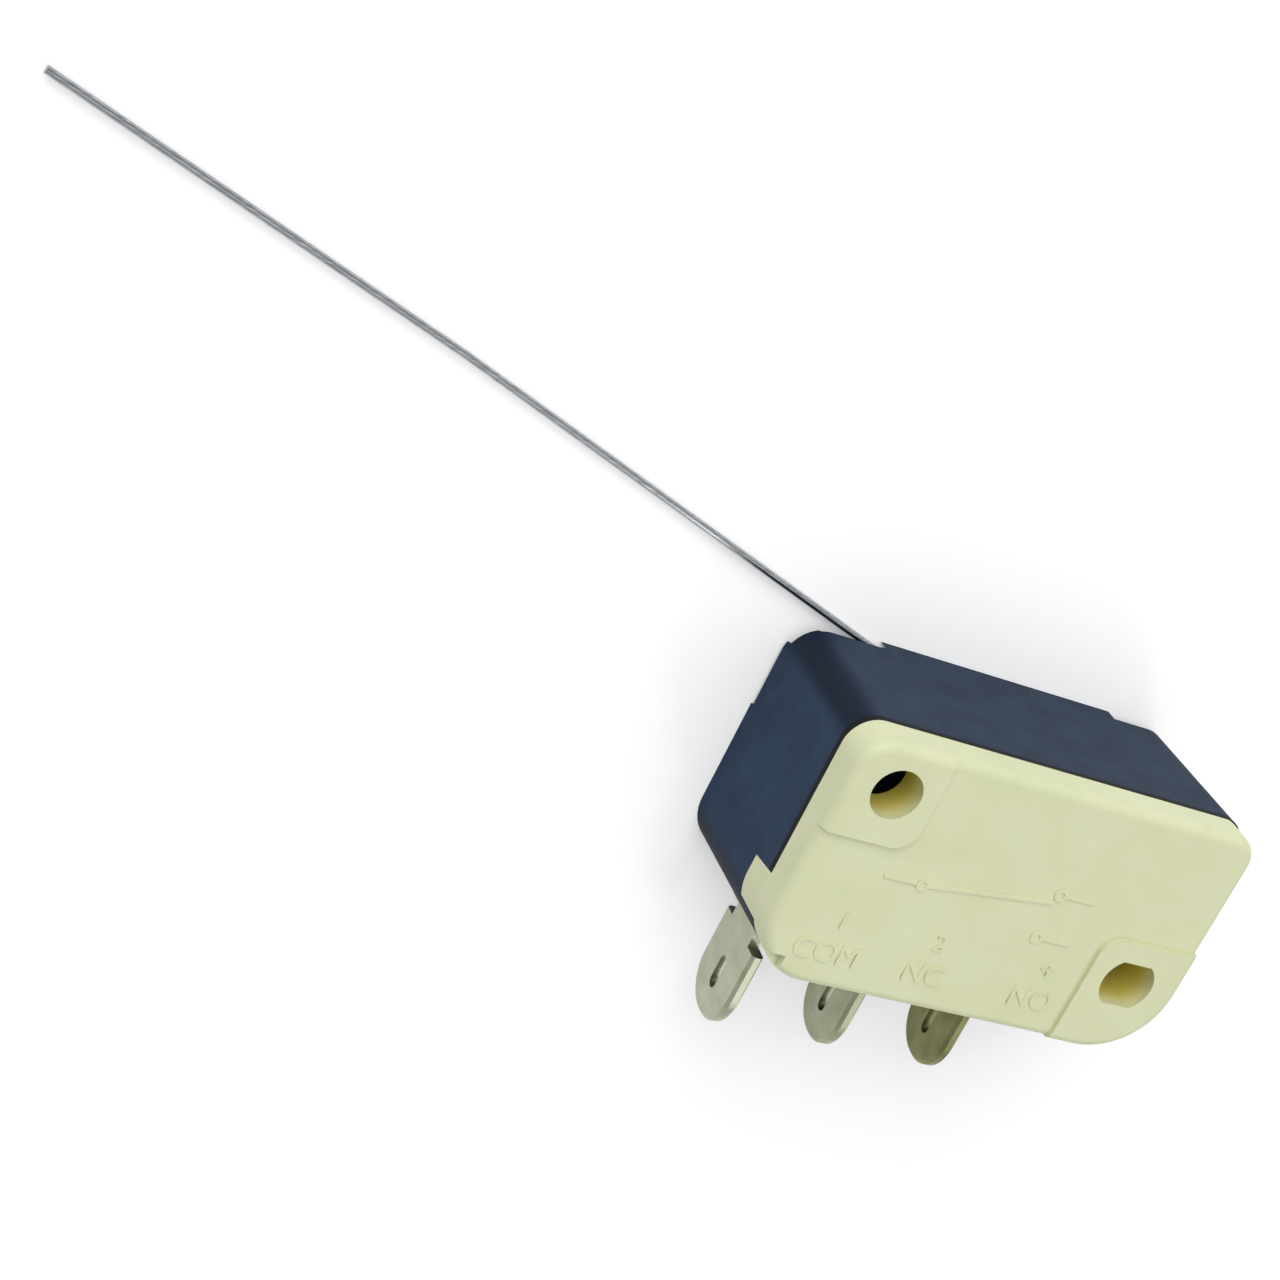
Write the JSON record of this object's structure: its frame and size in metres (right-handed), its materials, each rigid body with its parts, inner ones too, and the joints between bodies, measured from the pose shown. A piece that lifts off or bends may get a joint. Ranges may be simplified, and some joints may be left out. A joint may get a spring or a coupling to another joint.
{
  "type": "snap action switch",
  "caption": "Small moulded snap action switch with a long spring wire arm, a round and a flatted mounting hole, and upright tab terminals on the side opposite the arm.",
  "frame": {"origin": "middle of the case's flat rear face", "axes": "+Z out of the front cover, +X along the case away from the arm's free end, +Y towards the actuator side, terminals towards -Y"},
  "size_m": [0.0766, 0.0387, 0.0135],
  "materials": {
    "black_moulding": "fine matt moulded thermoset",
    "cream_moulding": "smooth cream moulding",
    "natural_acetal": "natural acetal",
    "spring_steel": "bright drawn spring steel",
    "tinned_brass": "dull tin plated brass",
    "spring_copper": "spring copper alloy",
    "contact_silver": "silver faced contact"
  },
  "bodies": {
    "case": {"housing": "black_moulding", "cover": "cream_moulding", "terminal_com": "tinned_brass", "terminal_nc": "tinned_brass", "terminal_no": "tinned_brass", "contact_nc": "contact_silver", "contact_no": "contact_silver"},
    "arm": {"lever_shaft": "black_moulding", "lever_wire": "spring_steel", "cam": "natural_acetal"},
    "plunger": {"plunger": "natural_acetal"},
    "blade": {"snap_blade": "spring_copper", "bow_spring": "spring_copper", "moving_contact": "contact_silver"}
  },
  "joints": [
    {"name": "arm_hinge", "type": "hinge", "parent": "case", "child": "arm", "pos_m": [0, 0.005, 0], "axis": [0, 0, 1], "range_deg": [0, 8], "stiffness_Nm_per_rad": 0.03, "springref_deg": -5.73},
    {"name": "plunger_slide", "type": "slide", "parent": "case", "child": "plunger", "axis": [0, -1, 0], "range_m": [0, 0.00034]},
    {"name": "blade_hinge", "type": "hinge", "parent": "case", "child": "blade", "pos_m": [-0.00695, 0.0001, 0], "axis": [0, 0, -1], "range_deg": [0, 5.2]}
  ],
  "couplings": [
    {"joint": "plunger_slide", "follows": "arm_hinge", "m_per_rad": 0.00237},
    {"joint": "blade_hinge", "follows": "arm_hinge", "ratio": 0.625}
  ]
}
